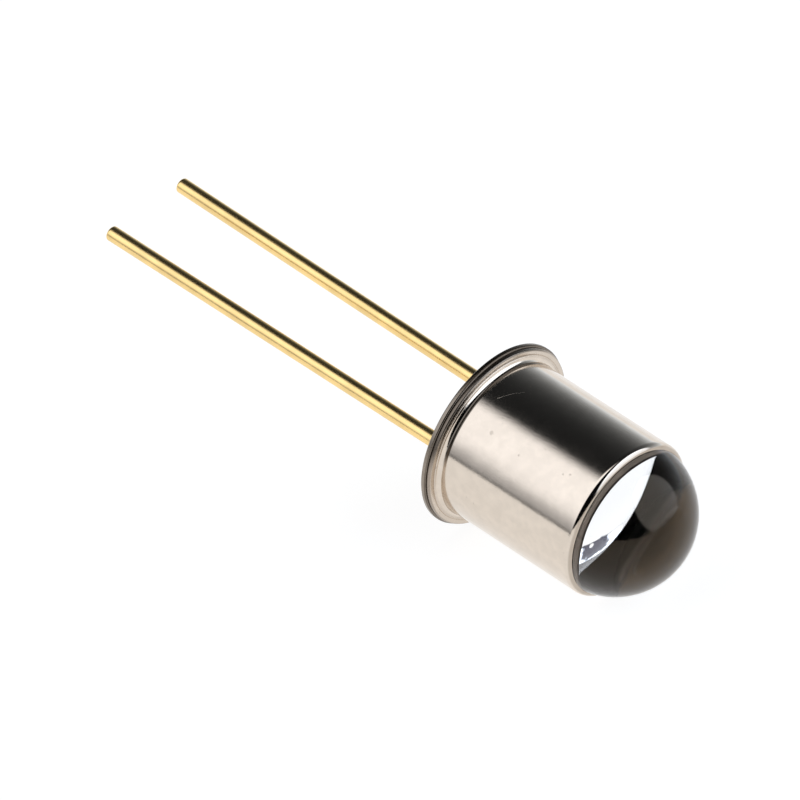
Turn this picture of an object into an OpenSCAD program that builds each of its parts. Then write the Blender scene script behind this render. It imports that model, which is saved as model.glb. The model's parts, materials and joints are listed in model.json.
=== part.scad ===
// Infrared LED in a sealed two-lead metal can with a domed glass lens.
// Each piece is drawn upright: the underside of the flange is z = 0, the lens points up,
// and the leads hang down on either side of the axis along x.
// The finished LED is then laid down as it comes to rest on a flat surface.
// All sizes are in millimetres.

/* [Can] */
// Outer diameter of the can
can_d = 4.7; // [4.4:0.05:5.7]
// Height of the can's rim above the underside of the flange
can_h = 5.1; // [4.2:0.05:6.2]
// Wall thickness of the can
can_wall = 0.15; // [0.1:0.01:0.17]
// Outer corner radius where the wall turns in to the lens opening
rim_round = 0.19; // [0.18:0.01:0.3]
// Radius of the fillet between the can's wall and its flange
base_fillet = 0.13; // [0.08:0.01:0.16]

/* [Flange] */
// How far the flange stands out beyond the can
flange_w = 0.4; // [0.35:0.01:0.6]
// Thickness of the header's flange
header_t = 0.16; // [0.12:0.01:0.25]
// Thickness of the can's own flange
cap_flange_t = 0.13; // [0.1:0.01:0.2]
// How far the can's flange stays inside the edge of the header's flange
flange_step = 0.06; // [0.03:0.01:0.1]
// Rounding of the header flange's edge
edge_round = 0.05; // [0.02:0.01:0.06]
// Width of the ring groove that the welding leaves in the flange
groove_w = 0.07; // [0.04:0.01:0.1]
// Depth of that groove
groove_t = 0.025; // [0.01:0.005:0.04]
// Length of the index tab beyond the flange
tab_len = 0.95; // [0.6:0.05:1.4]
// Width of the index tab
tab_w = 1.0; // [0.8:0.05:1.3]

/* [Header] */
// Height of the chip platform above the underside of the flange
platform_h = 1.1; // [0.9:0.05:1.6]
// Thickness of the chip platform
platform_t = 0.25; // [0.15:0.01:0.35]
// Wall thickness of the header's cup
cup_wall = 0.2; // [0.15:0.01:0.25]
// Gap between the header's cup and the inside of the can
cup_gap = 0.1; // [0.05:0.01:0.15]
// How deep the glass stays below the mouth of the cup
glass_recess = 0.1; // [0.05:0.01:0.2]
// Diameter of the platform hole that the glass insulates
feedthrough_d = 1.0; // [0.8:0.05:1.2]

/* [Leads] */
// Diameter of a lead
lead_d = 0.45; // [0.38:0.01:0.55]
// Distance between the leads at the header
lead_spacing = 2.54; // [2.1:0.02:3.06]
// Length of the leads below the flange
lead_len = 13.05; // [6:0.05:16]
// How far each lead leans outwards, in degrees
lead_splay = 0.5; // [0:0.1:1.5]
// Rounding of a lead's cut end
tip_round = 0.07; // [0.02:0.01:0.15]
// Height of the insulated lead's post above the platform
post_h = 0.45; // [0.3:0.01:0.8]

/* [Chip] */
// Side of the square chip
chip_w = 0.36; // [0.2:0.01:0.6]
// Height of the chip
chip_h = 0.2; // [0.12:0.01:0.3]
// Thickness of the conductive glue under the chip
glue_t = 0.03; // [0.01:0.005:0.06]
// Diameter of the bond wire
wire_d = 0.04; // [0.03:0.005:0.05]
// Bend radius of the bond wire over the chip
wire_bend = 0.16; // [0.12:0.01:0.25]

/* [Lens] */
// Depth of the glass below the can's rim, measured at the can's wall
lens_depth = 0.78; // [0.5:0.02:1.4]
// How far the middle of the glass bulges down towards the chip
lens_bulge = 0.42; // [0.1:0.02:0.8]
// Height of the dome above the can's rim
dome_h = 1.79; // [1.4:0.05:2.1]
// How far the dome's foot stands out over the edge of the opening
dome_over = 0.045; // [0.01:0.005:0.08]

/* [Hidden] */
$fn = 96;

// Can and lens
can_r = can_d / 2;
can_bore_r = can_r - can_wall;
opening_r = can_r - rim_round;
flange_r = can_r + flange_w;
cap_flange_r = flange_r - flange_step;
cap_flange_top = header_t + cap_flange_t;
groove_r = can_r + base_fillet + groove_w / 2;
dome_lift = 0.01;
dome_foot = can_h + dome_lift;
dome_foot_r = opening_r + dome_over;
dome_rise = dome_h - dome_lift;
dome_r = (dome_foot_r * dome_foot_r + dome_rise * dome_rise) / (2 * dome_rise);
dome_z = can_h + dome_h - dome_r;
lens_base = can_h - lens_depth - lens_bulge;
bulge_r = (can_bore_r * can_bore_r + lens_bulge * lens_bulge) / (2 * lens_bulge);

// Header
cup_r = can_bore_r - cup_gap;
cup_bore_r = cup_r - cup_wall;
cup_shoulder = 0.14;
cup_fillet = 0.08;
cup_corner = 0.08;
platform_under = platform_h - platform_t;

// Leads and the glass round them
lead_r = lead_d / 2;
lead_x = lead_spacing / 2;
post_top = platform_h + post_h;
weld_h = 0.1;
weld_w = 0.1;
meniscus_h = 0.06;
meniscus_w = 0.14;
meniscus_lip = 0.02;
meniscus_sink = 0.01;
glass_dip = 0.05;
feedthrough_sink = 0.1;

// Chip and bond wire
glue_w = 0.06;
chip_top = platform_h + glue_t + chip_h;
bond_ball_r = 1.6 * wire_d;
bond_ball_h = wire_d;
wire_rise = 0.12;
stitch_t = 0.5 * wire_d;
stitch_l = 3 * wire_d;

// Rest: the LED lies on the edge of its flange, the rim of its can and a corner of its tab
flange_touch = [header_t - edge_round, flange_r - edge_round];
rim_touch = [can_h - rim_round, can_r - rim_round];
touch_span = norm(rim_touch - flange_touch);
nose_down = atan((flange_touch[1] - rim_touch[1]) / (rim_touch[0] - flange_touch[0]))
          - asin((rim_round - edge_round) / touch_span);
axis_height = flange_touch[0] * sin(nose_down) + flange_touch[1] * cos(nose_down) + edge_round;
tab_reach = flange_r + tab_len;
tab_round = 0.12;
tab_corner = [tab_reach - tab_round, tab_w / 2 - tab_round];
tab_floor = (axis_height - header_t * sin(nose_down)) / cos(nose_down);
tab_roll = acos((tab_floor - tab_round) / norm(tab_corner)) + atan(tab_corner[1] / tab_corner[0]);
tab_to_lead = 45;
rest_shift = (lead_len * cos(nose_down) - dome_z * cos(nose_down) - dome_r) / 2;

// Extra length of a piece that is then cut off flat
over = 0.5;

// Points along an arc, from angle a to angle b
function arc(centre, r, a, b, steps = 8) =
  [for (i = [0 : steps]) let (t = a + (b - a) * i / steps) centre + r * [cos(t), sin(t)]];

// Turns an upright piece to the way the LED lies on a flat surface
module at_rest()
  translate([rest_shift, 0, axis_height])
    rotate([0, 90 + nose_down, 0])
      rotate([0, 0, tab_roll + tab_to_lead])
        children();

// Section of the stamped cup, from the axis out to the edge of its flange
module header_section()
  polygon(concat(
    arc([flange_r - edge_round, edge_round], edge_round, -90, 0),
    arc([flange_r - edge_round, header_t - edge_round], edge_round, 0, 90),
    arc([cup_r + cup_fillet, header_t + cup_fillet], cup_fillet, 270, 180),
    arc([cup_r - cup_shoulder, platform_h - cup_shoulder], cup_shoulder, 0, 90),
    [[0, platform_h], [0, platform_under]],
    arc([cup_bore_r - cup_corner, platform_under - cup_corner], cup_corner, 90, 0),
    arc([cup_bore_r + glass_recess, glass_recess], glass_recess, 180, 270)
  ));

// Round way for the insulated lead, from just under the platform up to z = top
module feedthrough(top)
  translate([-lead_x, 0, platform_under - feedthrough_sink])
    cylinder(h = top - platform_under + feedthrough_sink, d = feedthrough_d);

// Stamped metal cup with its flange, index tab and platform
module header()
  color("tan")
    difference() {
      union() {
        rotate_extrude() header_section();
        rotate([0, 0, -tab_to_lead]) tab();
      }
      feedthrough(platform_h + over);
    }

// Index tab, from inside the flange to its rounded outer corners
module tab() {
  root = cup_r + cup_fillet + cup_gap;
  linear_extrude(header_t)
    polygon(concat(
      [[root, -tab_w / 2]],
      arc([tab_corner[0], -tab_corner[1]], tab_round, -90, 0),
      arc(tab_corner, tab_round, 0, 90),
      [[root, tab_w / 2]]
    ));
}

// Places a piece on a lead's own axis, which leans outwards about the header
module on_lead(side)
  translate([side * lead_x, 0, 0])
    rotate([0, -side * lead_splay, 0])
      children();

// Straight round wire from its cut end up to z = top, where a foot of radius foot_r may flare out
module lead(top, foot_r = lead_r, foot_h = 0)
  rotate_extrude()
    polygon(concat(
      [[0, -lead_len]],
      arc([lead_r - tip_round, tip_round - lead_len], tip_round, -90, 0),
      foot_h > 0 ? [[lead_r, top - foot_h]] : [],
      [[foot_r, top], [0, top]]
    ));

// Lead welded to the underside of the platform, with the flare that the weld leaves
module cathode_lead()
  color("gold")
    difference() {
      on_lead(1) lead(platform_under + weld_h, lead_r + 2 * weld_w, 2 * weld_h);
      translate([lead_x - 2 * over, -2 * over, platform_under])
        cube(4 * over);
    }

// Lead that passes through the glass and ends as the post for the bond wire
module anode_lead()
  color("gold")
    difference() {
      on_lead(-1) lead(post_top + over);
      translate([-lead_x - 2 * over, -2 * over, post_top])
        cube(4 * over);
    }

// Glass that fills the cup, wets each lead and comes up through the platform hole
module glass_seal()
  color("darkseagreen")
    difference() {
      union() {
        rotate_extrude()
          polygon(concat(
            [[0, glass_recess], [cup_bore_r, glass_recess]],
            arc([cup_bore_r - cup_corner, platform_under - cup_corner], cup_corner, 0, 90),
            [[0, platform_under]]
          ));
        feedthrough(platform_h - glass_dip);
        for (side = [-1, 1])
          on_lead(side)
            translate([0, 0, glass_recess - meniscus_h])
              cylinder(h = meniscus_h + meniscus_sink, r1 = lead_r + meniscus_lip, r2 = lead_r + meniscus_w);
      }
      cathode_lead();
      anode_lead();
    }

// Conductive glue that holds the chip on the platform
module die_attach()
  color("gainsboro")
    translate([0, 0, platform_h])
      linear_extrude(glue_t)
        square(chip_w + 2 * glue_w, center = true);

// Light-emitting chip
module led_chip()
  color("dimgray")
    translate([0, 0, platform_h + glue_t])
      linear_extrude(chip_h)
        square(chip_w, center = true);

// Wire from a ball on the chip, over one bend and down to a flat stitch on the post
module bond_wire() {
  start = [0, chip_top + bond_ball_h + wire_rise];
  finish = [-lead_x + lead_r / 3, post_top + stitch_t];
  to_finish = [start[0] - finish[0] - wire_bend, finish[1] - start[1]];
  reach = norm(to_finish);
  run = sqrt(reach * reach - wire_bend * wire_bend);
  slope = atan2(to_finish[1], to_finish[0]) - atan2(wire_bend, run);
  color("gold") {
    translate([0, 0, chip_top]) cylinder(h = bond_ball_h, r = bond_ball_r);
    translate([0, 0, chip_top + bond_ball_h / 2])
      cylinder(h = bond_ball_h / 2 + wire_rise, d = wire_d);
    translate([-wire_bend, 0, start[1]])
      rotate([90, 0, 0])
        rotate_extrude(angle = 90 - slope)
          translate([wire_bend, 0]) circle(d = wire_d);
    translate([-wire_bend, 0, start[1]])
      rotate([0, slope - 90, 0])
        translate([wire_bend, 0, 0]) cylinder(h = run, d = wire_d);
    translate([finish[0], 0, post_top])
      linear_extrude(stitch_t)
        square([stitch_l, 2 * wire_d], center = true);
  }
}

// Section of the drawn can: flange with its weld groove, fillet, wall and turned-in rim
module cap_section()
  polygon(concat(
    [[can_bore_r + base_fillet, header_t], [cap_flange_r, header_t]],
    arc([cap_flange_r - edge_round, cap_flange_top - edge_round], edge_round, 0, 90),
    [
      [groove_r + groove_w / 2, cap_flange_top],
      [groove_r + groove_w / 4, cap_flange_top - groove_t],
      [groove_r - groove_w / 4, cap_flange_top - groove_t],
      [groove_r - groove_w / 2, cap_flange_top]
    ],
    arc([can_r + base_fillet, cap_flange_top + base_fillet], base_fillet, 270, 180),
    arc([can_r - rim_round, can_h - rim_round], rim_round, 0, 90, 12),
    [
      [opening_r, can_h - can_wall],
      [can_bore_r, can_h - can_wall]
    ],
    arc([can_bore_r + base_fillet, header_t + base_fillet], base_fillet, 180, 270)
  ));

// Drawn metal can
module cap()
  color("silver")
    rotate_extrude() cap_section();

// Glass fused into the can: a plug with a bulging underside, a neck through the rim's opening,
// and a ball dome whose foot stands out a little over the rim
module lens()
  color("slategray")
    rotate_extrude() {
      intersection() {
        translate([0, lens_base]) square([can_bore_r, can_h - can_wall - lens_base]);
        translate([0, lens_base + bulge_r]) circle(bulge_r);
      }
      translate([0, can_h - can_wall - dome_lift]) square([opening_r, can_wall + 2 * dome_lift]);
      intersection() {
        translate([0, dome_z]) circle(dome_r);
        translate([0, dome_foot]) square([dome_r, dome_h]);
      }
    }

at_rest() header();
at_rest() glass_seal();
at_rest() cathode_lead();
at_rest() anode_lead();
at_rest() die_attach();
at_rest() led_chip();
at_rest() bond_wire();
at_rest() cap();
at_rest() lens();
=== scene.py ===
"""Infrared LED in a sealed metal can, with a glass dome lens, a glass-filled header and gold leads.

Every piece is modelled upright in millimetres: the underside of the flange is z = 0, the lens
points up and the leads hang down on either side of the axis along x. It is then laid down on the
seat of the packed frame, with its nose down and the corner of its tab on the floor.
"""

import json
import math
from functools import reduce
from itertools import pairwise
from types import SimpleNamespace

import bmesh
import bpy
from bpy.props import FloatProperty, FloatVectorProperty, PointerProperty
from bpy.types import Operator, Panel, PropertyGroup
from mathutils import Matrix, Vector


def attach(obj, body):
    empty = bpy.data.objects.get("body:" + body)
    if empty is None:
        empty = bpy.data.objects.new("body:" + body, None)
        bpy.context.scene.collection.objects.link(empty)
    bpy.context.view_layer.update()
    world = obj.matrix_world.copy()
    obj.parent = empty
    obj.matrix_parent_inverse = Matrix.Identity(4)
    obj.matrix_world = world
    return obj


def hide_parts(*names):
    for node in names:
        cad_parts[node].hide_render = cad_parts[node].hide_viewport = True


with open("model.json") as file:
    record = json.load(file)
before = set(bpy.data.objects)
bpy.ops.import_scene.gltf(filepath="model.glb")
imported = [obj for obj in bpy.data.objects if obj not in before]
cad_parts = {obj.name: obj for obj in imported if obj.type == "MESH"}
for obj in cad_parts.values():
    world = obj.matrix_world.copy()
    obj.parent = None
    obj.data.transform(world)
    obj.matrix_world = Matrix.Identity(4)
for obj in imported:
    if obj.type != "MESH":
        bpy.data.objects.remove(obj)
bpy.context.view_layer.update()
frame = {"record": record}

bl_info = {
    "name": "Infrared LED in a metal can",
    "version": (1, 0, 0),
    "blender": (4, 5, 0),
    "location": "3D View > Sidebar > Infrared LED",
    "description": "Builds the can, header, leads, lens and chip of an infrared LED, and its stage",
    "category": "Add Mesh",
}

MM = 0.001
MOUNTS = {mount["name"]: mount for mount in frame["record"]["mounts"]}
SEAT = Vector(MOUNTS["seat"]["pos_m"])
UP_THE_CAN = -Vector(MOUNTS["seat"]["axis"]).normalized()
CAN_D = 2 * MOUNTS["can_body"]["dims"]["r_mm"] * MM
LEAD_SPACING = MOUNTS["leads"]["dims"]["pcd_mm"] * MM
LEAD_D = 2 * MOUNTS["leads"]["dims"]["stud_r_mm"] * MM


def length(name, description, default):
    return FloatProperty(name=name, description=description, default=default,
                         unit="LENGTH", subtype="DISTANCE", precision=5, min=0.0)


def tint(name, description, default):
    return FloatVectorProperty(name=name, description=description, default=default,
                               subtype="COLOR", size=3, min=0.0, max=1.0)


class CanSizes(PropertyGroup):
    """Sizes of the drawn can"""
    can_d: length("Diameter", "Outer diameter of the can", CAN_D)
    can_h: length("Height", "Height of the rim above the underside of the flange", 5.1 * MM)
    can_wall: length("Wall", "Wall thickness of the can", 0.15 * MM)
    rim_round: length("Rim rounding", "Outer corner radius of the rim", 0.19 * MM)
    base_fillet: length("Base fillet", "Radius between the wall and the flange", 0.13 * MM)
    flange_w: length("Flange width", "How far the header's flange stands out", 0.4 * MM)
    flange_t: length("Flange thickness", "Thickness of the can's own flange", 0.13 * MM)
    flange_step: length("Flange step", "How far the can's flange stays inside the header's", 0.06 * MM)
    edge_round: length("Edge rounding", "Rounding of the flange edges", 0.05 * MM)
    groove_w: length("Groove width", "Width of the weld groove", 0.07 * MM)
    groove_t: length("Groove depth", "Depth of the weld groove", 0.015 * MM)


class HeaderSizes(PropertyGroup):
    """Sizes of the stamped header and its glass"""
    header_t: length("Thickness", "Thickness of the header's flange", 0.16 * MM)
    tab_len: length("Tab length", "Length of the index tab beyond the flange", 0.95 * MM)
    tab_w: length("Tab width", "Width of the index tab", 1.0 * MM)
    tab_round: length("Tab corner", "Radius of the tab's outer corners", 0.12 * MM)
    platform_h: length("Platform height", "Height of the chip platform", 1.1 * MM)
    platform_t: length("Platform thickness", "Thickness of the chip platform", 0.25 * MM)
    cup_wall: length("Cup wall", "Wall thickness of the header's cup", 0.2 * MM)
    cup_gap: length("Cup gap", "Gap between the cup and the can", 0.1 * MM)
    glass_recess: length("Glass recess", "How deep the glass stays below the cup's mouth", 0.1 * MM)
    feedthrough_d: length("Feedthrough", "Diameter of the insulated hole", 1.0 * MM)


class LeadSizes(PropertyGroup):
    """Sizes of the two leads, the chip and its wire"""
    lead_d: length("Diameter", "Diameter of a lead", LEAD_D)
    lead_spacing: length("Spacing", "Distance between the leads at the header", LEAD_SPACING)
    lead_len: length("Length", "Length of the leads below the flange", 13.05 * MM)
    tip_round: length("Tip rounding", "Rounding of the cut ends", 0.07 * MM)
    post_h: length("Post height", "Height of the post above the platform", 0.45 * MM)
    chip_w: length("Chip width", "Side of the square chip", 0.36 * MM)
    chip_h: length("Chip height", "Height of the chip", 0.2 * MM)
    glue_t: length("Glue thickness", "Thickness of the glue under the chip", 0.03 * MM)
    wire_d: length("Wire diameter", "Diameter of the bond wire", 0.04 * MM)
    splay: FloatProperty(name="Splay", description="How far each lead leans outwards",
                         default=math.radians(0.5), subtype="ANGLE", unit="ROTATION")


class LensSizes(PropertyGroup):
    """Sizes of the glass lens"""
    lens_depth: length("Depth", "Depth of the glass at the can's wall, below the rim", 0.78 * MM)
    lens_bulge: length("Bulge", "How far the glass bulges down towards the chip", 0.42 * MM)
    dome_h: length("Dome height", "Height of the dome above the rim", 1.79 * MM)
    dome_over: length("Dome overhang", "How far the dome's foot stands out over the rim", 0.045 * MM)


class Finishes(PropertyGroup):
    """Colours of the finishes"""
    nickel: tint("Can nickel", "Nickel plate of the can", (0.70, 0.615, 0.525))
    header: tint("Header nickel", "Plate of the header", (0.56, 0.49, 0.42))
    gold: tint("Lead gold", "Gold plate of the leads", (0.94, 0.675, 0.29))
    seal: tint("Seal glass", "Dark sealing glass", (0.020, 0.028, 0.026))
    glass: tint("Lens glass", "Clear lens glass", (0.99, 0.995, 1.0))
    chip: tint("Chip", "Polished semiconductor", (0.06, 0.065, 0.09))
    glue: tint("Glue", "Silver-filled glue", (0.55, 0.54, 0.52))


class StageSettings(PropertyGroup):
    """Camera and light"""
    azimuth: FloatProperty(name="Azimuth", description="Direction the camera looks from",
                           default=math.radians(43.36), subtype="ANGLE", unit="ROTATION")
    elevation: FloatProperty(name="Elevation", description="Height of the camera over the floor",
                             default=math.radians(36.32), subtype="ANGLE", unit="ROTATION")
    distance: length("Distance", "Distance of the camera from the seat of the flange", 350 * MM)
    focal: FloatProperty(name="Focal length", description="Focal length on a 36 mm sensor",
                         default=581.1, min=10.0, subtype="DISTANCE_CAMERA")
    aim_left: length("Aim left", "How far left of the seat the camera aims", 2.443 * MM)
    aim_up: length("Aim up", "How far above the seat the camera aims", 0.874 * MM)
    softbox: FloatProperty(name="Softbox", description="Brightness of the large softbox",
                           default=1.45, min=0.0)


# Axes of a direction
X, Y, Z = range(3)

WHITE = (1, 1, 1, 1)

# Floor: its radius in metres, its grey and the glow that keeps it white round the shadow
FLOOR_R = 0.026
FLOOR_GREY = 0.25
FLOOR_GLOW = 0.89

# Sky behind the part: its level at the horizon, the height over which it fades and its tone
SKY_LEVEL = 1.08
SKY_FADE = 0.215
SKY_TONE = (0.96, 1.06, 1.17)

# Left softbox: places and brightness from its foot to its top, the heights of both, and its tone
LEFT_BOX = ((0.0, 0.70), (0.14, 0.68), (0.21, 0.20), (0.28, 0.14), (0.33, 0.32), (0.49, 0.47),
            (0.70, 0.80), (0.94, 0.95))
LEFT_BOX_FOOT = -0.3
LEFT_BOX_TOP = 0.5
LEFT_TONE = (0.99, 1.02, 1.08)

# Round patches of the studio: the direction of the centre and the cosines of the edge, 0 then 1
RIGHT_BOX = ((0.79, 0.40, 0.46), 0.80, 0.84)
GLINT = ((0.875, 0.484, 0.034), 0.9992, 0.9996)

# Other patches: an axis, the directions along it that give 0 and 1, and how much the edge wavers
FRONT_GAP = ((X, 0.5, 0.6, 0.0), (Y, 0.3, 0.2, 0.0), (Z, -0.02, 0.0, 0.0), (Z, 0.2, 0.14, 0.0))
SHELF = ((X, 0.76, 0.80, 0.2), (Y, 0.16, 0.24, 0.3), (Y, 0.66, 0.58, 0.2), (Z, -0.03, 0.0, 0.1),
         (Z, 0.26, 0.22, 0.25))
HOOD = ((X, 0.4, 0.5, 0.0), (Z, 0.26, 0.30, 0.0))

# Colours of the patches
RIGHT_LIGHT = (1.85, 2.05, 2.35, 1)
SHELF_COLOUR = (0.012, 0.018, 0.06, 1)
HOOD_COLOUR = (0.01, 0.01, 0.012, 1)

# Colours on the can and the header, apart from their plate; the seam and fillet colours are painted shade
SMUDGE = (0.10, 0.08, 0.06, 1)
DULL_FLANGE = (0.30, 0.24, 0.19, 1)
CAN_EDGE = (0.12, 0.085, 0.06, 1)
HEADER_EDGE = (0.11, 0.085, 0.06, 1)
# Painted shade: dark line in the crevice where the can's flange sits on the header's flange
SEAM_SHADE = (0.05, 0.036, 0.026, 1)
# Painted shade: dark colour in the fillet and on the flange's rounded edge, on one side, standing in for
# the fillet's dark reflection
FILLET_SHADE = (0.035, 0.026, 0.018, 1)
DULL_RIM = (0.22, 0.17, 0.125, 1)
PALE_NECK = ((0.78, 0.62, 0.49, 1), (0.98, 0.86, 0.74, 1))
DARK_LIP = (0.10, 0.07, 0.05, 1)
BLACK_OXIDE = (0.012, 0.010, 0.009, 1)
BROWN_OXIDE = (0.44, 0.27, 0.12, 1)

# Colours of the bond wire and of the contact on the chip
BOND_GOLD = ((0.95, 0.66, 0.22, 1), (1.0, 0.78, 0.34, 1))
CONTACT_GOLD = (0.9, 0.68, 0.3, 1)

# Glasses: how strongly they bend light, and the tint of what the lens mirrors
SEAL_IOR = 1.5
LENS_IOR = 1.526
LENS_MIRROR = (0.66, 0.54, 0.41, 1)

# Sides of the part, in degrees round from the joined lead
# Side on which shade is painted into the fillet and onto the flange's rounded edge
SHADED_SIDE = 105
DARK_EDGE_SIDE = 75
BROWN_SIDE = -51.2

# Depths under the rim at which a coat in the can begins and is full, in millimetres
LIP_COAT = (0.04, 0.02)
BLACK_COAT = (0.30, 0.45)
BROWN_COAT = (1.06, 1.12)

# Small sizes in millimetres
GROOVE_LIP = 0.012
GROOVE_FLOOR = 0.008
UNDERSIDE_ROUND = 0.02
FLAT_MARGIN = 0.02
CUP_CORNER = 0.08
CUP_SHOULDER = 0.14
TAB_ROOT = 0.2
TAB_EDGE = 0.03
JOIN_FLARE = 0.1
POST_ROUND = 0.03
POST_SHOULDER = 0.05
HOLE_REACH = 0.5
BORE_REACH = 2.0
PLUG_RECESS = 0.05
PLUG_ROOT = 0.15
CHIP_EDGE = 0.008
GLUE_EDGE = 0.014
GLUE_MARGIN = 0.06
CONTACT_R = 0.08
WIRE_BEND = 0.16
WIRE_RISE = 0.12
STITCH_EDGE = 0.006
DOME_LIFT = 0.01

# How far the lens reaches into the neck and the wall that it is fused to, so that no gap shows
NECK_BITE = 0.012
WALL_BITE = 0.03

SETTINGS = {"led_can": CanSizes, "led_header": HeaderSizes, "led_leads": LeadSizes,
            "led_lens": LensSizes, "led_finishes": Finishes, "led_stage": StageSettings}


def sizes():
    """All lengths in millimetres, by their property names, with the sizes that follow from them."""
    scene, found = bpy.context.scene, {}
    for key in ("led_can", "led_header", "led_leads", "led_lens"):
        group = getattr(scene, key)
        found.update({name: getattr(group, name) / MM for name in group.__annotations__})
    s = SimpleNamespace(**found)
    # The splay is an angle, so it isn't scaled
    s.splay = scene.led_leads.splay
    s.can_r = s.can_d / 2
    s.bore_r = s.can_r - s.can_wall
    s.opening_r = s.can_r - s.rim_round
    s.flange_r = s.can_r + s.flange_w
    s.can_flange_r = s.flange_r - s.flange_step
    s.can_flange_top = s.header_t + s.flange_t
    s.groove_r = s.can_r + s.base_fillet + s.groove_w / 2
    s.cup_r = s.bore_r - s.cup_gap
    s.cup_bore_r = s.cup_r - s.cup_wall
    s.platform_under = s.platform_h - s.platform_t
    s.lead_r = s.lead_d / 2
    s.lead_x = s.lead_spacing / 2
    s.post_top = s.platform_h + s.post_h
    s.chip_top = s.platform_h + s.glue_t + s.chip_h
    s.dome_foot = s.can_h + DOME_LIFT
    s.dome_foot_r = s.opening_r + s.dome_over
    rise = s.dome_h - DOME_LIFT
    s.dome_r = (s.dome_foot_r ** 2 + rise ** 2) / (2 * rise)
    s.dome_z = s.can_h + s.dome_h - s.dome_r
    s.bulge_r = (s.bore_r ** 2 + s.lens_bulge ** 2) / (2 * s.lens_bulge)
    s.bulge_z = s.can_h - s.lens_depth - s.lens_bulge + s.bulge_r
    return s


TAB_TO_LEAD = math.radians(45)

# Marks on the can: degrees round from the joined lead, way out from the wall, height and radius
HANDLING_MARKS = ((130.7, 0.0, 2.47, 0.045), (125.4, 0.0, 3.93, 0.04), (123.5, 0.0, 4.12, 0.045),
                  (128.4, 0.0, 1.39, 0.07), (118.0, 0.33, 0.28, 0.09), (154.7, 0.33, 0.28, 0.07),
                  (168.5, 0.15, 0.29, 0.06))

# Scratch on the can's wall, point by point: degrees round from the joined lead and height
SCRATCH = ((106.6, 0.87), (98.9, 1.06), (91.8, 1.29))


def at_rest(s):
    """Matrix that lays an upright piece in millimetres on its place in the frame, in metres."""
    nose_down = math.asin(-UP_THE_CAN.z)
    tab_corner = Vector((s.flange_r + s.tab_len - s.tab_round, s.tab_w / 2 - s.tab_round))
    to_floor = (SEAT.z / MM - s.header_t * math.sin(nose_down)) / math.cos(nose_down)
    roll = (math.acos((to_floor - s.tab_round) / tab_corner.length)
            + math.atan(tab_corner.y / tab_corner.x))
    turn = Matrix.Rotation(math.pi / 2 + nose_down, 4, "Y") @ Matrix.Rotation(roll + TAB_TO_LEAD, 4, "Z")
    return Matrix.Translation(SEAT) @ turn @ Matrix.Scale(MM, 4)


# Mesh helpers

def section(bm, corners):
    """Closed outline in the xz plane from (radius, height, rounding) corners, as edges only."""
    verts = [bm.verts.new((r, 0.0, z)) for r, z, _ in corners]
    face = bm.faces.new(verts)
    for vert, (_, _, rounding) in zip(verts, corners, strict=True):
        if rounding:
            bmesh.ops.bevel(bm, geom=[vert], offset=rounding, offset_type="OFFSET", segments=8,
                            profile=0.5, affect="VERTICES", material=-1)
    hold_ends(bm)
    bm.faces.ensure_lookup_table()
    bmesh.ops.delete(bm, geom=[bm.faces[0]], context="FACES_ONLY")


def hold_ends(bm):
    """Points close to both ends of each long edge, so that flats and walls shade true once turned."""
    off_axis = [e for e in bm.edges if any(abs(v.co.x) > 1e-6 for v in e.verts)]
    for edge in [e for e in off_axis if e.calc_length() > 4 * FLAT_MARGIN]:
        for end in edge.verts[:]:
            bmesh.utils.edge_split(edge, end, FLAT_MARGIN / edge.calc_length())


def lathe(bm, steps):
    """Turns the outline once round the z axis and closes its seam and poles."""
    on_axis = [e for e in bm.edges if all(abs(v.co.x) < 1e-6 for v in e.verts)]
    bmesh.ops.delete(bm, geom=on_axis, context="EDGES")
    bmesh.ops.spin(bm, geom=bm.verts[:] + bm.edges[:], cent=(0, 0, 0), axis=(0, 0, 1),
                   dvec=(0, 0, 0), angle=math.tau, steps=steps, use_merge=True, use_duplicate=False)
    bmesh.ops.remove_doubles(bm, verts=bm.verts[:], dist=1e-5)
    bmesh.ops.recalc_face_normals(bm, faces=bm.faces[:])


def turned(corners, steps=256):
    """A new bmesh, turned from an outline."""
    bm = bmesh.new()
    section(bm, corners)
    lathe(bm, steps)
    return bm


def block(size, x, bottom):
    """A new bmesh, a block of this size that stands at a height and is centred on x."""
    bm = bmesh.new()
    bmesh.ops.create_cube(bm, size=1.0)
    bmesh.ops.scale(bm, vec=size, verts=bm.verts[:])
    bmesh.ops.translate(bm, vec=(x, 0, bottom + size[2] / 2), verts=bm.verts[:])
    return bm


def rod(radius, bottom, top, x=0.0, segments=96):
    """A new bmesh, an upright rod from one height to another, centred on x."""
    bm = bmesh.new()
    bmesh.ops.create_cone(bm, cap_ends=True, segments=segments, radius1=radius, radius2=radius,
                          depth=top - bottom)
    bmesh.ops.translate(bm, vec=(x, 0, (bottom + top) / 2), verts=bm.verts[:])
    return bm


def round_edges(bm, edges, rounding, segments):
    bmesh.ops.bevel(bm, geom=edges, offset=rounding, offset_type="OFFSET", segments=segments,
                    profile=0.5, affect="EDGES", material=-1)


def draw_out(bm, edges, vector):
    """Extrudes edges along a vector and gives the new vertices and edges."""
    made = bmesh.ops.extrude_edge_only(bm, edges=edges)["geom"]
    verts = [g for g in made if isinstance(g, bmesh.types.BMVert)]
    bmesh.ops.translate(bm, vec=vector, verts=verts)
    return verts, [g for g in made if isinstance(g, bmesh.types.BMEdge)]


def as_object(bm, name):
    """Object from a bmesh, which is freed."""
    mesh = bpy.data.meshes.new(name)
    bm.to_mesh(mesh)
    bm.free()
    obj = bpy.data.objects.new(name, mesh)
    bpy.context.scene.collection.objects.link(obj)
    return obj


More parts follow.
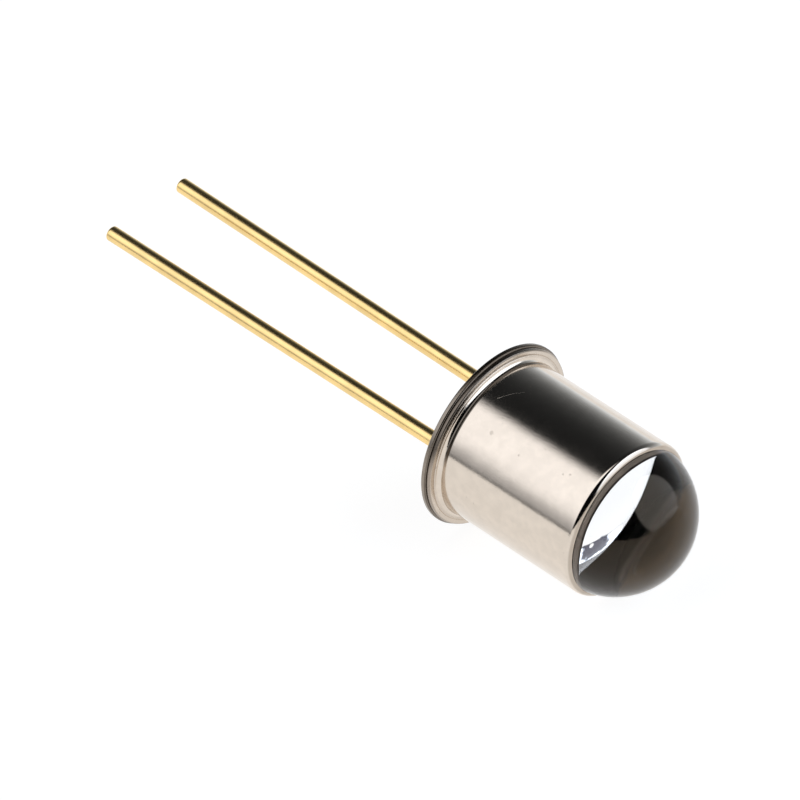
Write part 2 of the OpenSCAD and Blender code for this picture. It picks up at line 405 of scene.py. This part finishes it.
def carve(obj, tool, operation):
    """Joins a tool object to a piece or cuts it away, and removes the tool."""
    modifier = obj.modifiers.new("carve", "BOOLEAN")
    modifier.operation = operation
    modifier.solver = "EXACT"
    modifier.object = tool
    depsgraph = bpy.context.evaluated_depsgraph_get()
    made = bpy.data.meshes.new_from_object(obj.evaluated_get(depsgraph))
    obj.modifiers.remove(modifier)
    obj.data = made
    bpy.data.objects.remove(tool)


def finish_piece(obj, nodes, material, sharp=35):
    """Lays a piece in its place, smooths it and hands it to the frame."""
    obj.data.transform(at_rest(sizes()))
    obj.data.materials.clear()
    obj.data.materials.append(material)
    obj.data.shade_smooth()
    obj.data.set_sharp_from_angle(angle=math.radians(sharp))
    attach(obj, "root")
    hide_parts(*nodes)


def round_can(radius, turn, height):
    """Point at a radius and height, so many degrees round the can from the joined lead."""
    return radius * math.cos(math.radians(turn)), radius * math.sin(math.radians(turn)), height


def on_lead(s, side):
    """Matrix from a lead's own axis to the header."""
    return Matrix.Translation((side * s.lead_x, 0, 0)) @ Matrix.Rotation(-side * s.splay, 4, "Y")


# Shader helpers

class Field:
    """A socket's value in a node tree, on which plain arithmetic adds Math nodes."""

    def __init__(self, tree, socket):
        self.tree, self.socket = tree, socket

    def _math(self, operation, *values):
        return self.tree.add("ShaderNodeMath", {"operation": operation}, dict(enumerate(values)))

    def __add__(self, other):
        return self._math("ADD", self, other)

    __radd__ = __add__

    def __sub__(self, other):
        return self._math("SUBTRACT", self, other)

    def __rsub__(self, other):
        return self._math("SUBTRACT", other, self)

    def __mul__(self, other):
        return self._math("MULTIPLY", self, other)

    __rmul__ = __mul__

    def __truediv__(self, other):
        return self._math("DIVIDE", self, other)

    def __rtruediv__(self, other):
        return self._math("DIVIDE", other, self)

    def __pow__(self, other):
        return self._math("POWER", self, other)

    def __rpow__(self, other):
        return self._math("POWER", other, self)

    def least(self, other):
        return self._math("MINIMUM", self, other)

    def most(self, other):
        return self._math("MAXIMUM", self, other)

    def step(self, low, high):
        """Smoothly from 0 at low to 1 at high, which may be the smaller of the two."""
        ends = {"From Min": low, "From Max": high, "To Min": 0.0, "To Max": 1.0}
        return self.tree.add("ShaderNodeMapRange", {"interpolation_type": "SMOOTHSTEP"},
                             {"Value": self, **ends})


class Tree:
    """A node tree that is being filled."""

    def __init__(self, owner):
        owner.use_nodes = True
        self.nodes = owner.node_tree.nodes
        self.links = owner.node_tree.links
        self.nodes.clear()

    def add(self, kind, settings=None, inputs=None, output=0):
        """A node of this kind: its settings first, then its sockets, by name or number."""
        node = self.nodes.new(kind)
        for name, value in (settings or {}).items():
            if name == "stops":
                ramp = node.color_ramp.elements
                while len(ramp) < len(value):
                    ramp.new(0.5)
                for element, (place, colour) in zip(ramp, value, strict=True):
                    element.position = place
                    element.color = colour
            else:
                setattr(node, name, value)
        for name, value in (inputs or {}).items():
            if isinstance(value, Field):
                self.links.new(value.socket, node.inputs[name])
            else:
                node.inputs[name].default_value = value
        return Field(self, node.outputs[output]) if node.outputs else None

    def mix(self, factor, one, two):
        """Colour between two others."""
        colours = {"Factor": factor, 6: one, 7: two}
        return self.add("ShaderNodeMix", {"data_type": "RGBA"}, colours, output=2)

    def paint(self, base, *coats):
        """Colour with others laid over it in turn, each as far as its mask says."""
        for mask, colour in coats:
            base = self.mix(mask, base, colour)
        return base

    def ray(self, kind):
        """1 on a ray of this kind, else 0."""
        return self.add("ShaderNodeLightPath", {}, {}, output=kind)

    def noise(self, vector, scale, detail=3.0, rough=0.55):
        return self.add("ShaderNodeTexNoise", {}, {"Vector": vector, "Scale": scale,
                                                   "Detail": detail, "Roughness": rough})

    def scaled(self, vector, scale):
        """A vector with its x, y and z scaled."""
        return self.add("ShaderNodeVectorMath", {"operation": "MULTIPLY"}, {0: vector, 1: scale})

    def parts(self, vector):
        """The x, y and z of a vector."""
        first = self.add("ShaderNodeSeparateXYZ", {}, {0: vector})
        return [Field(self, output) for output in first.socket.node.outputs]

    def away(self, vector, point):
        """Distance of a vector from a point."""
        return self.add("ShaderNodeVectorMath", {"operation": "DISTANCE"}, {0: vector, 1: point},
                        output="Value")

    def from_line(self, vector, start, end):
        """Distance of a vector from the straight line between two points."""
        along = Vector(end) - Vector(start)
        offset = self.add("ShaderNodeVectorMath", {"operation": "SUBTRACT"}, {0: vector, 1: start})
        share = self.add("ShaderNodeVectorMath", {"operation": "DOT_PRODUCT"},
                         {0: offset, 1: along / along.length_squared}, output="Value")
        nearest = self.add("ShaderNodeVectorMath", {"operation": "SCALE"},
                           {0: along, "Scale": share.most(0.0).least(1.0)})
        return self.add("ShaderNodeVectorMath", {"operation": "DISTANCE"}, {0: offset, 1: nearest},
                        output="Value")

    def bump(self, height, strength, distance):
        return self.add("ShaderNodeBump", {}, {"Height": height, "Strength": strength,
                                               "Distance": distance})

    def upright(self):
        """Object coordinates in millimetres in the upright frame that the pieces are drawn in."""
        place = at_rest(sizes())
        here = self.add("ShaderNodeTexCoord", {}, {}, output="Object")
        return self.add("ShaderNodeMapping", {"vector_type": "TEXTURE"}, {
            "Vector": here, "Location": place.to_translation(),
            "Rotation": place.to_euler(), "Scale": (MM, MM, MM)})

    def around(self):
        """Upright place with its x, y and height z, and its distance from the can's axis."""
        place = self.upright()
        x, y, z = self.parts(place)
        return SimpleNamespace(place=place, x=x, y=y, z=z, radius=(x * x + y * y) ** 0.5)


def facing(at, side):
    """1 on a side of the part, in degrees round from the joined lead, and -1 opposite."""
    turn = math.radians(side)
    return (math.cos(turn) * at.x + math.sin(turn) * at.y) / at.radius


def rgba(colour, scale=1.0):
    return tuple(scale * c for c in colour[:3]) + (1.0,)


def principled(name, build):
    """Material whose shader is fed by build(tree), a dict of the Principled BSDF's sockets."""
    material = bpy.data.materials.new(name)
    tree = Tree(material)
    shader = tree.add("ShaderNodeBsdfPrincipled", {}, build(tree))
    tree.add("ShaderNodeOutputMaterial", {}, {"Surface": shader})
    return material


def can_specks(tree, s, at, grain):
    """Specks on the can, a few strewn ones and those at the handling marks."""
    specks = tree.noise(at.place, 13.0, 2.0, 0.5).step(0.74, 0.79)
    for turn, out, height, size in HANDLING_MARKS:
        ragged = tree.away(at.place, round_can(s.can_r + out, turn, height)) + 0.12 * (grain - 0.5)
        specks = specks.most(0.7 * ragged.step(size, 0.4 * size))
    return specks


def can_scratch(tree, s, at):
    """Fine scratch on the can's wall."""
    points = [round_can(s.can_r, turn, height) for turn, height in SCRATCH]
    return reduce(Field.most, (tree.from_line(at.place, *ends).step(0.016, 0.006)
                               for ends in pairwise(points)))


def can_inside(s, at):
    """Faces of the can that the glass covers: its bore and its neck."""
    bore = at.radius.step(s.bore_r + 0.03, s.bore_r + 0.01) * (s.can_h - at.z).step(0.01, 0.03)
    neck = at.radius.step(s.opening_r + 0.02, s.opening_r + 0.005)
    return bore.most(neck)


def flange_coats(s, at, flange):
    """Dull flange with a darker edge, painted shade along the seam, and painted shade on one side at its
    edge and its fillet.
    """
    edge = flange * at.radius.step(s.can_flange_r - 0.05, s.can_flange_r - 0.01)
    # Painted shade along the seam where the can's flange meets the header
    seam = at.radius.step(s.can_flange_r - 0.06, s.can_flange_r - 0.02)
    seam = seam * at.z.step(s.header_t + 0.06, s.header_t + 0.02)
    fillet_top = s.can_flange_top + s.base_fillet + 0.02
    from_fillet = ((at.radius - s.can_r) ** 2 + (at.z - fillet_top) ** 2) ** 0.5
    rounding = at.radius.step(s.can_flange_r - 0.06, s.can_flange_r - 0.03)
    # Painted shade in the fillet and on the flange's rounded edge, on one side only
    fillet_shade = facing(at, SHADED_SIDE).step(0.42, 0.62) * from_fillet.step(0.07, 0.04).most(rounding * 0.6)
    return ((flange * 0.25, DULL_FLANGE), (edge * 0.5, CAN_EDGE), (seam * 0.65, SEAM_SHADE),
            (fillet_shade * 0.9, FILLET_SHADE))


def oxide_coats(tree, s, at, inside, mottle):
    """Under the glass: pale neck, dark lip, black under the neck and brown deep down on one side."""
    depth = s.can_h - at.z
    brown = depth.step(*BROWN_COAT) * facing(at, BROWN_SIDE).step(-0.2, 0.3)
    return ((inside, tree.mix(mottle, *PALE_NECK)), (inside * depth.step(*LIP_COAT), DARK_LIP),
            (inside * depth.step(*BLACK_COAT), BLACK_OXIDE), (inside * brown, BROWN_OXIDE))


def can_nickel():
    """Drawn nickel: glossy and a little mottled, with handling marks, and oxide under the glass."""
    def build(tree):
        s, at = sizes(), tree.around()
        colour = bpy.context.scene.led_finishes.nickel
        mottle = tree.noise(at.place, 2.6, 5.0)
        grain = tree.noise(tree.scaled(at.place, (1.0, 1.0, 0.25)), 22.0, 3.0)
        specks = can_specks(tree, s, at, grain)
        inside = can_inside(s, at)
        flange = at.z.step(s.can_flange_top + 0.01, s.can_flange_top - 0.005) * (1.0 - inside)
        rim = at.radius.step(s.can_r - 0.01, s.can_r - 0.06) * (s.can_h - at.z).step(0.1, 0.04)
        base = tree.mix(mottle.step(0.3, 0.75), rgba(colour, 0.95), rgba(colour, 1.04))
        base = tree.paint(base, (specks * 0.4, SMUDGE), *flange_coats(s, at, flange),
                          (rim * (0.2 + 0.5 * mottle), DULL_RIM),
                          *oxide_coats(tree, s, at, inside, mottle))
        rough = 0.08 + 0.04 * mottle + 0.04 * grain + 0.4 * inside + 0.15 * flange
        return {"Base Color": base, "Metallic": 1.0 - inside,
                "Roughness": rough + 0.25 * can_scratch(tree, s, at),
                "Normal": tree.bump(grain + 0.4 * specks, 0.04, 0.00002)}
    return principled("can_nickel", build)


def header_nickel():
    """Stamped header: a browner plate, darker at its sheared edge, with painted shade along the seam
    under the can's flange.
    """
    def build(tree):
        s, at = sizes(), tree.around()
        colour = bpy.context.scene.led_finishes.header
        mottle = tree.noise(at.place, 2.6, 4.0)
        grain = tree.noise(at.place, 30.0, 3.0)
        off_tab = at.radius.step(s.flange_r + 0.1, s.flange_r)
        edge = off_tab * at.radius.step(s.flange_r - 0.05, s.flange_r - 0.01)
        edge = edge * (0.6 + 0.38 * facing(at, DARK_EDGE_SIDE).step(0.6, 0.85))
        # Painted shade on the header's step, along the seam under the can's flange
        seam = off_tab * at.z.step(s.header_t - 0.045, s.header_t - 0.02)
        base = tree.mix(mottle.step(0.3, 0.7), rgba(colour, 0.82), rgba(colour, 1.08))
        base = tree.paint(base, (edge, HEADER_EDGE), (seam * 0.6, SEAM_SHADE))
        return {"Base Color": base, "Metallic": 1.0, "Roughness": 0.2 + 0.12 * mottle,
                "Normal": tree.bump(grain, 0.12, 0.00002)}
    return principled("header_nickel", build)


def lead_gold():
    """Gold-plated round wire with fine lengthwise drawing lines."""
    def build(tree):
        colour = bpy.context.scene.led_finishes.gold
        place = tree.upright()
        lines = tree.noise(tree.scaled(place, (1.0, 1.0, 0.06)), 34.0, 2.0)
        mottle = tree.noise(place, 1.2, 3.0)
        base = tree.mix(mottle.step(0.35, 0.7), rgba(colour, 0.9), rgba(colour, 1.04))
        return {"Base Color": base, "Metallic": 1.0, "Roughness": 0.19 + 0.08 * lines,
                "Normal": tree.bump(lines, 0.08, 0.00001)}
    return principled("lead_gold", build)


def bond_gold():
    """Fine gold wire."""
    def build(tree):
        place = tree.upright()
        mottle = tree.noise(place, 9.0, 2.0)
        base = tree.mix(mottle, *BOND_GOLD)
        return {"Base Color": base, "Metallic": 1.0, "Roughness": 0.14 + 0.08 * mottle}
    return principled("bond_gold", build)


def seal_glass():
    """Dark sealing glass with faint clouds and a fire-polished skin."""
    def build(tree):
        colour = bpy.context.scene.led_finishes.seal
        place = tree.upright()
        clouds = tree.noise(place, 3.0, 4.0)
        base = tree.mix(clouds, rgba(colour, 0.7), rgba(colour, 1.6))
        return {"Base Color": base, "Roughness": 0.05 + 0.08 * clouds, "IOR": SEAL_IOR,
                "Normal": tree.bump(clouds, 0.15, 0.00005)}
    return principled("seal_glass", build)


def lens_glass():
    """Clear fire-polished glass."""
    def build(tree):
        colour = bpy.context.scene.led_finishes.glass
        place = tree.upright()
        waves = tree.noise(place, 0.9, 1.0)
        return {"Base Color": rgba(colour), "Roughness": 0.0, "IOR": LENS_IOR,
                "Specular Tint": LENS_MIRROR, "Transmission Weight": 1.0,
                "Normal": tree.bump(waves, 0.01, 0.0001)}
    return principled("lens_glass", build)


def chip_finish():
    """Polished chip with a metal contact in the middle of its top."""
    def build(tree):
        s = sizes()
        colour = bpy.context.scene.led_finishes.chip
        place = tree.upright()
        x, y, z = tree.parts(place)
        contact = (x * x + y * y).step(CONTACT_R ** 2, (CONTACT_R - 0.01) ** 2)
        contact = contact * z.step(s.chip_top - 0.02, s.chip_top - 0.01)
        grain = tree.noise(place, 12.0, 2.0)
        body = tree.mix(grain, rgba(colour, 0.8), rgba(colour, 1.3))
        base = tree.mix(contact, body, CONTACT_GOLD)
        return {"Base Color": base, "Metallic": 0.35 + 0.65 * contact, "Roughness": 0.12 + 0.15 * grain}
    return principled("chip", build)


def glue_finish():
    """Silver-filled glue."""
    def build(tree):
        colour = bpy.context.scene.led_finishes.glue
        flakes = tree.noise(tree.upright(), 40.0, 3.0)
        base = tree.mix(flakes, rgba(colour, 0.7), rgba(colour, 1.25))
        return {"Base Color": base, "Metallic": 0.7, "Roughness": 0.35 + 0.2 * flakes,
                "Normal": tree.bump(flakes, 0.5, 0.00001)}
    return principled("glue", build)


class LED_OT_can(Operator):
    """Drawn can with its flange, weld groove, fillet and turned-in rim"""
    bl_idname = "led.can"
    bl_label = "Can"

    def execute(self, context):
        s = sizes()
        bm = turned([
            (s.bore_r, s.header_t, s.base_fillet),
            (s.can_flange_r, s.header_t, UNDERSIDE_ROUND),
            (s.can_flange_r, s.can_flange_top, s.edge_round),
            (s.groove_r + s.groove_w / 2, s.can_flange_top, GROOVE_LIP),
            (s.groove_r + s.groove_w / 4, s.can_flange_top - s.groove_t, GROOVE_FLOOR),
            (s.groove_r - s.groove_w / 4, s.can_flange_top - s.groove_t, GROOVE_FLOOR),
            (s.groove_r - s.groove_w / 2, s.can_flange_top, 0.0),
            (s.can_r, s.can_flange_top, s.base_fillet),
            (s.can_r, s.can_h, s.rim_round),
            (s.opening_r, s.can_h, 0.0),
            (s.opening_r, s.can_h - s.can_wall, 0.0),
            (s.bore_r, s.can_h - s.can_wall, 0.0),
        ], steps=320)
        finish_piece(as_object(bm, "drawn_can"), ["cap"], can_nickel())
        return {"FINISHED"}


class LED_OT_header(Operator):
    """Stamped header: flange, index tab, cup and chip platform with its insulated hole"""
    bl_idname = "led.header"
    bl_label = "Header"

    def execute(self, context):
        s = sizes()
        header = as_object(turned([
            (s.flange_r, 0, s.edge_round),
            (s.flange_r, s.header_t, s.edge_round),
            (s.cup_r, s.header_t, CUP_CORNER),
            (s.cup_r, s.platform_h, CUP_SHOULDER),
            (0, s.platform_h, 0),
            (0, s.platform_under, 0),
            (s.cup_bore_r, s.platform_under, CUP_CORNER),
            (s.cup_bore_r, 0, s.glass_recess),
        ], steps=320), "stamped_header")
        carve(header, as_object(self.tab(s), "tab"), "UNION")
        hole = rod(s.feedthrough_d / 2, s.platform_h - HOLE_REACH, s.platform_h + HOLE_REACH,
                   x=-s.lead_x)
        carve(header, as_object(hole, "hole"), "DIFFERENCE")
        finish_piece(header, ["header"], header_nickel())
        return {"FINISHED"}

    def tab(self, s):
        """Index tab with rounded corners and edges, which starts inside the flange."""
        root = s.cup_r + TAB_ROOT
        reach = s.flange_r + s.tab_len
        tab = block((reach - root, s.tab_w, s.header_t), (reach + root) / 2, 0)
        corners = [e for e in tab.edges if all(v.co.x > reach - 0.01 for v in e.verts)
                   and abs(e.verts[0].co.z - e.verts[1].co.z) > 0.1]
        round_edges(tab, corners, s.tab_round, 12)
        rims = [e for e in tab.edges if len(e.link_faces) == 2
                and any(abs(f.normal.z) > 0.9 for f in e.link_faces)
                and any(abs(f.normal.z) < 0.1 and f.normal.x > -0.9 for f in e.link_faces)]
        round_edges(tab, rims, TAB_EDGE, 4)
        flats = [f for f in tab.faces if abs(f.normal.z) > 0.99]
        bmesh.ops.inset_individual(tab, faces=flats, thickness=FLAT_MARGIN, depth=0.0)
        bmesh.ops.rotate(tab, cent=(0, 0, 0), matrix=Matrix.Rotation(-TAB_TO_LEAD, 3, "Z"),
                         verts=tab.verts[:])
        bmesh.ops.recalc_face_normals(tab, faces=tab.faces[:])
        return tab


class LED_OT_leads(Operator):
    """The two gold-plated leads"""
    bl_idname = "led.leads"
    bl_label = "Leads"

    def execute(self, context):
        s = sizes()
        gold = lead_gold()
        leads = (("cathode_lead", "joined_lead", 1, s.platform_under, 2 * JOIN_FLARE, JOIN_FLARE, 0.0),
                 ("anode_lead", "insulated_lead", -1, s.post_top, POST_SHOULDER, 0.0, POST_ROUND))
        for node, name, side, top, neck, flare, rounding in leads:
            bm = turned([
                (0, -s.lead_len, 0),
                (s.lead_r, -s.lead_len, s.tip_round),
                (s.lead_r, top - neck, 0),
                (s.lead_r + flare, top, rounding),
                (0, top, 0),
            ], steps=64)
            bmesh.ops.transform(bm, matrix=on_lead(s, side), verts=bm.verts[:])
            finish_piece(as_object(bm, name), [node], gold)
        return {"FINISHED"}


class LED_OT_seal(Operator):
    """Glass that fills the header's cup and comes up round the insulated lead"""
    bl_idname = "led.seal"
    bl_label = "Glass seal"

    def execute(self, context):
        s = sizes()
        glass = as_object(turned([
            (0, s.glass_recess, 0),
            (s.cup_bore_r, s.glass_recess, 0),
            (s.cup_bore_r, s.platform_under, CUP_CORNER),
            (0, s.platform_under, 0),
        ], steps=192), "seal_glass")
        plug = rod(s.feedthrough_d / 2, s.platform_under - PLUG_ROOT, s.platform_h - PLUG_RECESS,
                   x=-s.lead_x)
        carve(glass, as_object(plug, "plug"), "UNION")
        for side in (-1, 1):
            bore = rod(s.lead_r, -BORE_REACH, BORE_REACH, segments=64)
            for tool, operation in ((self.wetting(s), "UNION"), (bore, "DIFFERENCE")):
                bmesh.ops.transform(tool, matrix=on_lead(s, side), verts=tool.verts[:])
                carve(glass, as_object(tool, "tool"), operation)
        finish_piece(glass, ["glass_seal"], seal_glass())
        return {"FINISHED"}

    def wetting(self, s):
        """Ring of glass that creeps down a lead."""
        return turned([
            (0, s.glass_recess - 0.06, 0),
            (s.lead_r + 0.02, s.glass_recess - 0.06, 0),
            (s.lead_r + 0.05, s.glass_recess - 0.02, 0.03),
            (s.lead_r + 0.16, s.glass_recess + 0.01, 0),
            (0, s.glass_recess + 0.01, 0),
        ], steps=64)


class LED_OT_chip(Operator):
    """Chip, its glue and its bond wire"""
    bl_idname = "led.chip"
    bl_label = "Chip"

    def execute(self, context):
        s = sizes()
        glue_w = s.chip_w + 2 * GLUE_MARGIN
        for node, name, slot, width, bottom, height, edge, material in (
            ("led_chip", "emitter_chip", "chip", s.chip_w, s.platform_h + s.glue_t, s.chip_h,
             CHIP_EDGE, chip_finish()),
            ("die_attach", "chip_glue", "conductive_glue", glue_w, s.platform_h, s.glue_t,
             GLUE_EDGE, glue_finish()),
        ):
            bm = block((width, width, height), 0, bottom)
            round_edges(bm, bm.edges[:], edge, 3)
            finish_piece(as_object(bm, name), [node], material)
        self.wire(s)
        return {"FINISHED"}

    def wire(self, s):
        """Wire from a ball on the chip, over one bend and down to a stitch on the post."""
        stitch_x = -s.lead_x + s.lead_r / 3
        wire = as_object(self.bent_wire(s, stitch_x), "bond_wire_loop")
        ball_r, ball_top = 1.6 * s.wire_d, s.chip_top + s.wire_d
        ball = turned([(0, s.chip_top, 0), (ball_r, s.chip_top, 0.012), (ball_r, ball_top, 0.018),
                       (0, ball_top, 0)], 32)
        carve(wire, as_object(ball, "ball"), "UNION")
        stitch = block((3 * s.wire_d, 2 * s.wire_d, s.wire_d / 2), stitch_x, s.post_top)
        round_edges(stitch, stitch.edges[:], STITCH_EDGE, 3)
        carve(wire, as_object(stitch, "stitch"), "UNION")
        finish_piece(wire, ["bond_wire"], bond_gold())

    def bent_wire(self, s, stitch_x):
        """Round wire that rises from the ball, bends once and runs straight to the stitch."""
        start = Vector((0, s.chip_top + s.wire_d + WIRE_RISE))
        finish = Vector((stitch_x, s.post_top + 0.5 * s.wire_d))
        gap = Vector((start.x - finish.x - WIRE_BEND, finish.y - start.y))
        run = math.sqrt(gap.length_squared - WIRE_BEND ** 2)
        slope = math.atan2(gap.y, gap.x) - math.atan2(WIRE_BEND, run)
        bm = bmesh.new()
        ring = bmesh.ops.create_circle(bm, cap_ends=False, segments=24, radius=s.wire_d / 2)
        bmesh.ops.translate(bm, vec=(0, 0, s.chip_top + s.wire_d / 2), verts=ring["verts"])
        verts, edges = draw_out(bm, bm.edges[:], (0, 0, s.wire_d / 2 + WIRE_RISE))
        turn = bmesh.ops.spin(bm, geom=verts + edges, cent=(-WIRE_BEND, 0, start.y), axis=(0, -1, 0),
                              dvec=(0, 0, 0), angle=math.pi / 2 - slope, steps=20, use_merge=False,
                              use_duplicate=False)["geom_last"]
        edges = [g for g in turn if isinstance(g, bmesh.types.BMEdge)]
        draw_out(bm, edges, run * Vector((-math.cos(slope), 0, math.sin(slope))))
        bmesh.ops.holes_fill(bm, edges=bm.edges[:])
        bmesh.ops.recalc_face_normals(bm, faces=bm.faces[:])
        return bm


class LED_OT_lens(Operator):
    """Glass fused into the can: a plug with a bulging underside, a neck and a ball dome"""
    bl_idname = "led.lens"
    bl_label = "Lens"

    def execute(self, context):
        s = sizes()
        bm = bmesh.new()
        neck_r, fused_r = s.opening_r + NECK_BITE, s.bore_r + WALL_BITE
        neck_z = s.can_h - s.can_wall / 2
        dome_swing = math.acos((s.dome_foot - s.dome_z) / s.dome_r)
        last = self.arc(bm, s.dome_z + s.dome_r, s.dome_z, dome_swing, 72)
        for place in ((neck_r, s.dome_foot - 0.015), (neck_r, neck_z), (fused_r, neck_z)):
            last = self.join(bm, last, place)
        under = self.arc(bm, s.bulge_z - s.bulge_r, s.bulge_z, -math.asin(fused_r / s.bulge_r), 48)
        bm.edges.new((last, under))
        lathe(bm, 256)
        finish_piece(as_object(bm, "glass_lens"), ["lens"], lens_glass(), sharp=25)
        return {"FINISHED"}

    def arc(self, bm, height, centre, swing, steps):
        """Arc from a height on the axis, about a centre on the axis; gives its far end."""
        pole = bm.verts.new((0, 0, height))
        made = bmesh.ops.spin(bm, geom=[pole], cent=(0, 0, centre), axis=(0, 1, 0), dvec=(0, 0, 0),
                              angle=swing, steps=steps, use_merge=False, use_duplicate=False)
        return next(g for g in made["geom_last"] if isinstance(g, bmesh.types.BMVert))

    def join(self, bm, last, place):
        """Edge from the last point to a new one, which it gives."""
        vert = bm.verts.new((place[0], 0, place[1]))
        bm.edges.new((last, vert))
        return vert


class LED_OT_stage(Operator):
    """Camera, floor and studio light"""
    bl_idname = "led.stage"
    bl_label = "Stage"

    def execute(self, context):
        stage = context.scene.led_stage
        az, el = stage.azimuth, stage.elevation
        right = Vector((math.cos(az), math.sin(az), 0))
        back = Vector((math.sin(az) * math.cos(el), -math.cos(az) * math.cos(el), math.sin(el)))
        up = back.cross(right)
        camera = bpy.data.objects.new("camera", bpy.data.cameras.new("camera"))
        context.scene.collection.objects.link(camera)
        camera.data.lens = stage.focal
        camera.data.clip_start = 0.01
        camera.data.dof.use_dof = False
        turn = Matrix((right, up, back)).transposed()
        camera.matrix_world = turn.to_4x4()
        camera.location = SEAT - right * stage.aim_left + up * stage.aim_up + back * stage.distance
        context.scene.camera = camera
        self.floor()
        self.world(context, stage)
        context.scene.view_settings.view_transform = "Standard"
        return {"FINISHED"}

    def floor(self):
        """White floor that keeps the part's shadow."""
        bm = bmesh.new()
        bmesh.ops.create_circle(bm, cap_ends=True, segments=96, radius=FLOOR_R)
        obj = as_object(bm, "floor")
        material = bpy.data.materials.new("floor")
        tree = Tree(material)
        grey = tree.add("ShaderNodeBsdfDiffuse", {}, {"Color": rgba(WHITE, FLOOR_GREY)})
        glow = tree.add("ShaderNodeEmission", {}, {"Color": WHITE, "Strength": FLOOR_GLOW})
        both = tree.add("ShaderNodeAddShader", {}, {0: grey, 1: glow})
        tree.add("ShaderNodeOutputMaterial", {}, {"Surface": both})
        obj.data.materials.append(material)

    def world(self, context, stage):
        """White to the camera, and the studio to the part."""
        world = bpy.data.worlds.new("studio")
        context.scene.world = world
        tree = Tree(world)
        light = tree.add("ShaderNodeBackground", {}, {"Color": self.studio(tree, stage), "Strength": 1.0})
        white = tree.add("ShaderNodeBackground", {}, {"Color": WHITE, "Strength": 1.0})
        both = tree.add("ShaderNodeMixShader", {}, {0: tree.ray("Is Camera Ray"), 1: light, 2: white})
        tree.add("ShaderNodeOutputWorld", {}, {"Surface": both})

    def studio(self, tree, stage):
        """What the part sees in each direction. The glass sees a gap, a shelf and a hood as well."""
        direction = tree.add("ShaderNodeTexCoord", {}, {}, output="Generated")
        parts = tree.parts(direction)
        x, y, z = parts
        behind = -math.sin(stage.azimuth) * x + math.cos(stage.azimuth) * y
        wobble = tree.noise(direction, 7.0, 2.0) - 0.5
        through = tree.ray("Is Transmission Ray")
        return tree.paint(
            self.sky(tree, z, behind),
            (z.step(0.0, -0.02), WHITE),
            (behind.step(0.21, 0.02) * x.step(0.15, -0.05), self.left_box(tree, z, stage)),
            (self.patch(parts, FRONT_GAP, wobble) * through, WHITE),
            (self.spot(parts, *RIGHT_BOX) * z.step(0.0, 0.02), RIGHT_LIGHT),
            (self.patch(parts, SHELF, wobble) * through, SHELF_COLOUR),
            (self.spot(parts, *GLINT), WHITE),
            (self.patch(parts, HOOD, wobble) * through, HOOD_COLOUR),
        )

    def sky(self, tree, z, behind):
        """Backdrop that fades upwards, behind the part only."""
        level = SKY_LEVEL * math.e ** (z.most(0.0) * (-1 / SKY_FADE)) * behind.step(-0.1, 0.3)
        return self.light(tree, level, SKY_TONE)

    def left_box(self, tree, z, stage):
        """Softbox on the left: a bright foot, a dark band over the floor, then brighter and brighter."""
        stops = [(place, rgba(WHITE, level)) for place, level in LEFT_BOX]
        share = (z - LEFT_BOX_FOOT) / (LEFT_BOX_TOP - LEFT_BOX_FOOT)
        ramp = tree.add("ShaderNodeValToRGB", {"stops": stops}, {0: share})
        return self.light(tree, tree.parts(ramp)[0] * stage.softbox, LEFT_TONE)

    def light(self, tree, level, tone):
        """Light of this level and tone."""
        return tree.add("ShaderNodeVectorMath", {"operation": "SCALE"}, {0: tone, "Scale": level})

    def spot(self, parts, centre, low, high):
        """Round patch of the studio about a direction, from 0 at a low cosine to 1 at a high one."""
        centre = Vector(centre).normalized()
        cosine = sum((part * along for part, along in zip(parts, centre, strict=True)), 0.0)
        return cosine.step(low, high)

    def patch(self, parts, limits, wobble):
        """Patch of the studio that lies inside all of its limits."""
        return math.prod((parts[axis] + waver * wobble).step(low, high)
                         for axis, low, high, waver in limits)


class LED_PT_panel(Panel):
    """Lists the pieces and their sizes"""
    bl_idname = "LED_PT_panel"
    bl_label = "Infrared LED"
    bl_space_type = "VIEW_3D"
    bl_region_type = "UI"
    bl_category = "Infrared LED"

    def draw(self, context):
        for operator in OPERATORS:
            self.layout.operator(operator.bl_idname)
        for key, kind in SETTINGS.items():
            box = self.layout.box()
            box.label(text=kind.__doc__)
            for name in kind.__annotations__:
                box.prop(getattr(context.scene, key), name)


OPERATORS = (LED_OT_stage, LED_OT_can, LED_OT_header, LED_OT_leads, LED_OT_seal, LED_OT_chip,
             LED_OT_lens)
CLASSES = (*SETTINGS.values(), *OPERATORS, LED_PT_panel)


def register():
    for kind in CLASSES:
        bpy.utils.register_class(kind)
    for key, kind in SETTINGS.items():
        setattr(bpy.types.Scene, key, PointerProperty(type=kind))


def unregister():
    for key in SETTINGS:
        delattr(bpy.types.Scene, key)
    for kind in reversed(CLASSES):
        bpy.utils.unregister_class(kind)


def main():
    register()
    bpy.ops.led.stage()
    bpy.ops.led.can()
    bpy.ops.led.header()
    bpy.ops.led.leads()
    bpy.ops.led.seal()
    bpy.ops.led.chip()
    bpy.ops.led.lens()


if __name__ == "__main__":
    main()
